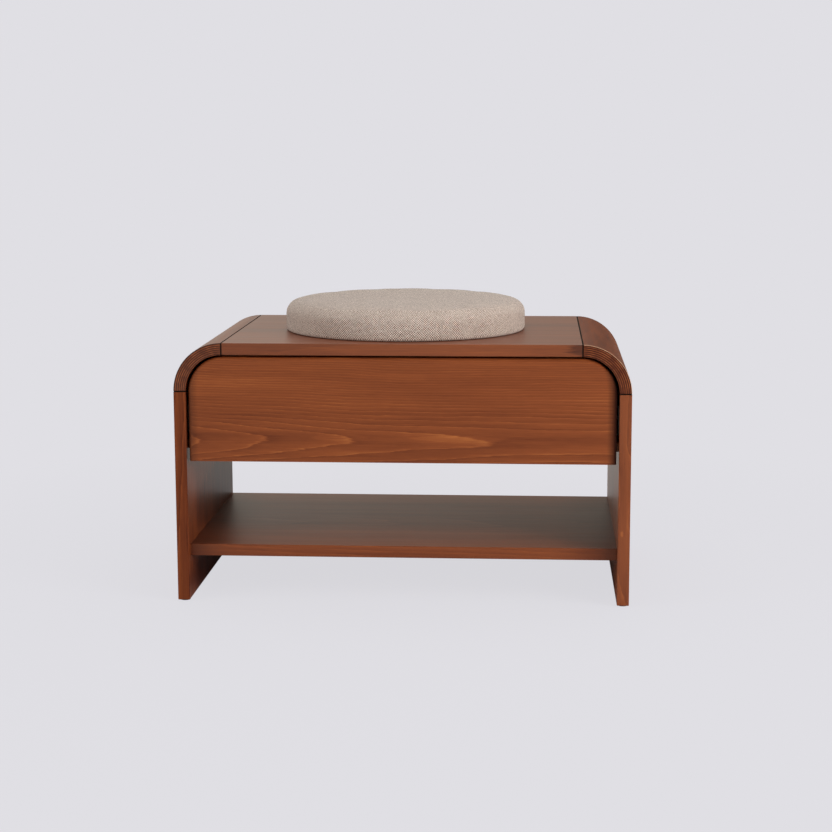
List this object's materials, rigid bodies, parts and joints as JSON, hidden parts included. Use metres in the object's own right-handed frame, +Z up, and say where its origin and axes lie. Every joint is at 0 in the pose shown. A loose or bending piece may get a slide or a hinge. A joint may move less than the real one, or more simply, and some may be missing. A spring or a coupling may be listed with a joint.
{
  "type": "storage bench",
  "caption": "Low stained-wood storage bench with bent quarter-round corners, a full-width drawer with a finger lip, an open shelf and a loose round seat cushion.",
  "frame": {"origin": "on the floor under the middle of the bench, midway between the legs and between front and back", "axes": "+X to the right seen from the front, along the width; +Y from the front to the back; +Z up"},
  "size_m": [0.72, 0.43, 0.472],
  "materials": {
    "stained_wood": "satin",
    "box_plywood": "satin",
    "tongue_birch": "matte",
    "rail_coating": "satin",
    "cage_zinc": "satin",
    "ball_steel": "polished",
    "screw_steel": "satin",
    "glide_plastic": "matte",
    "cushion_weave": "matte",
    "cushion_lining": "matte",
    "cushion_fill": "matte"
  },
  "bodies": {
    "carcass": {"left_leg": "stained_wood", "right_leg": "stained_wood", "left_corner": "stained_wood", "right_corner": "stained_wood", "top_board": "stained_wood", "shelf": "stained_wood", "bay_floor": "stained_wood", "back_panel": "stained_wood", "leg_tongues": "tongue_birch", "top_tongues": "tongue_birch", "foot_glides": "glide_plastic", "left_outer_rail": "rail_coating", "right_outer_rail": "rail_coating", "leg_rail_screws": "screw_steel"},
    "drawer": {"drawer_front": "stained_wood", "drawer_left_side": "box_plywood", "drawer_right_side": "box_plywood", "drawer_box_front": "box_plywood", "drawer_back": "box_plywood", "drawer_bottom": "box_plywood", "front_screws": "screw_steel", "left_inner_rail": "rail_coating", "right_inner_rail": "rail_coating", "drawer_rail_screws": "screw_steel"},
    "cushion": {"cushion_cover": "cushion_weave", "cushion_base": "cushion_lining", "cushion_foam": "cushion_fill"},
    "left_middle": {"left_middle_rail": "rail_coating"},
    "left_outer_bearing": {"left_outer_cage": "cage_zinc", "left_outer_balls": "ball_steel"},
    "left_inner_bearing": {"left_inner_cage": "cage_zinc", "left_inner_balls": "ball_steel"},
    "right_middle": {"right_middle_rail": "rail_coating"},
    "right_outer_bearing": {"right_outer_cage": "cage_zinc", "right_outer_balls": "ball_steel"},
    "right_inner_bearing": {"right_inner_cage": "cage_zinc", "right_inner_balls": "ball_steel"}
  },
  "joints": [
    {"name": "drawer_slide", "type": "slide", "parent": "carcass", "child": "drawer", "axis": [0, -1, 0], "range_m": [0, 0.34]},
    {"name": "left_middle_slide", "type": "slide", "parent": "carcass", "child": "left_middle", "axis": [0, -1, 0], "range_m": [0, 0.17]},
    {"name": "left_outer_bearing_slide", "type": "slide", "parent": "carcass", "child": "left_outer_bearing", "axis": [0, -1, 0], "range_m": [0, 0.085]},
    {"name": "left_inner_bearing_slide", "type": "slide", "parent": "carcass", "child": "left_inner_bearing", "axis": [0, -1, 0], "range_m": [0, 0.255]},
    {"name": "right_middle_slide", "type": "slide", "parent": "carcass", "child": "right_middle", "axis": [0, -1, 0], "range_m": [0, 0.17]},
    {"name": "right_outer_bearing_slide", "type": "slide", "parent": "carcass", "child": "right_outer_bearing", "axis": [0, -1, 0], "range_m": [0, 0.085]},
    {"name": "right_inner_bearing_slide", "type": "slide", "parent": "carcass", "child": "right_inner_bearing", "axis": [0, -1, 0], "range_m": [0, 0.255]},
    {"name": "cushion_lift", "type": "slide", "parent": "carcass", "child": "cushion", "axis": [0, 0, 1], "range_m": [0, 0.2]}
  ],
  "couplings": [
    {"joint": "left_middle_slide", "follows": "drawer_slide", "ratio": 0.5},
    {"joint": "left_outer_bearing_slide", "follows": "drawer_slide", "ratio": 0.25},
    {"joint": "left_inner_bearing_slide", "follows": "drawer_slide", "ratio": 0.75},
    {"joint": "right_middle_slide", "follows": "drawer_slide", "ratio": 0.5},
    {"joint": "right_outer_bearing_slide", "follows": "drawer_slide", "ratio": 0.25},
    {"joint": "right_inner_bearing_slide", "follows": "drawer_slide", "ratio": 0.75}
  ]
}
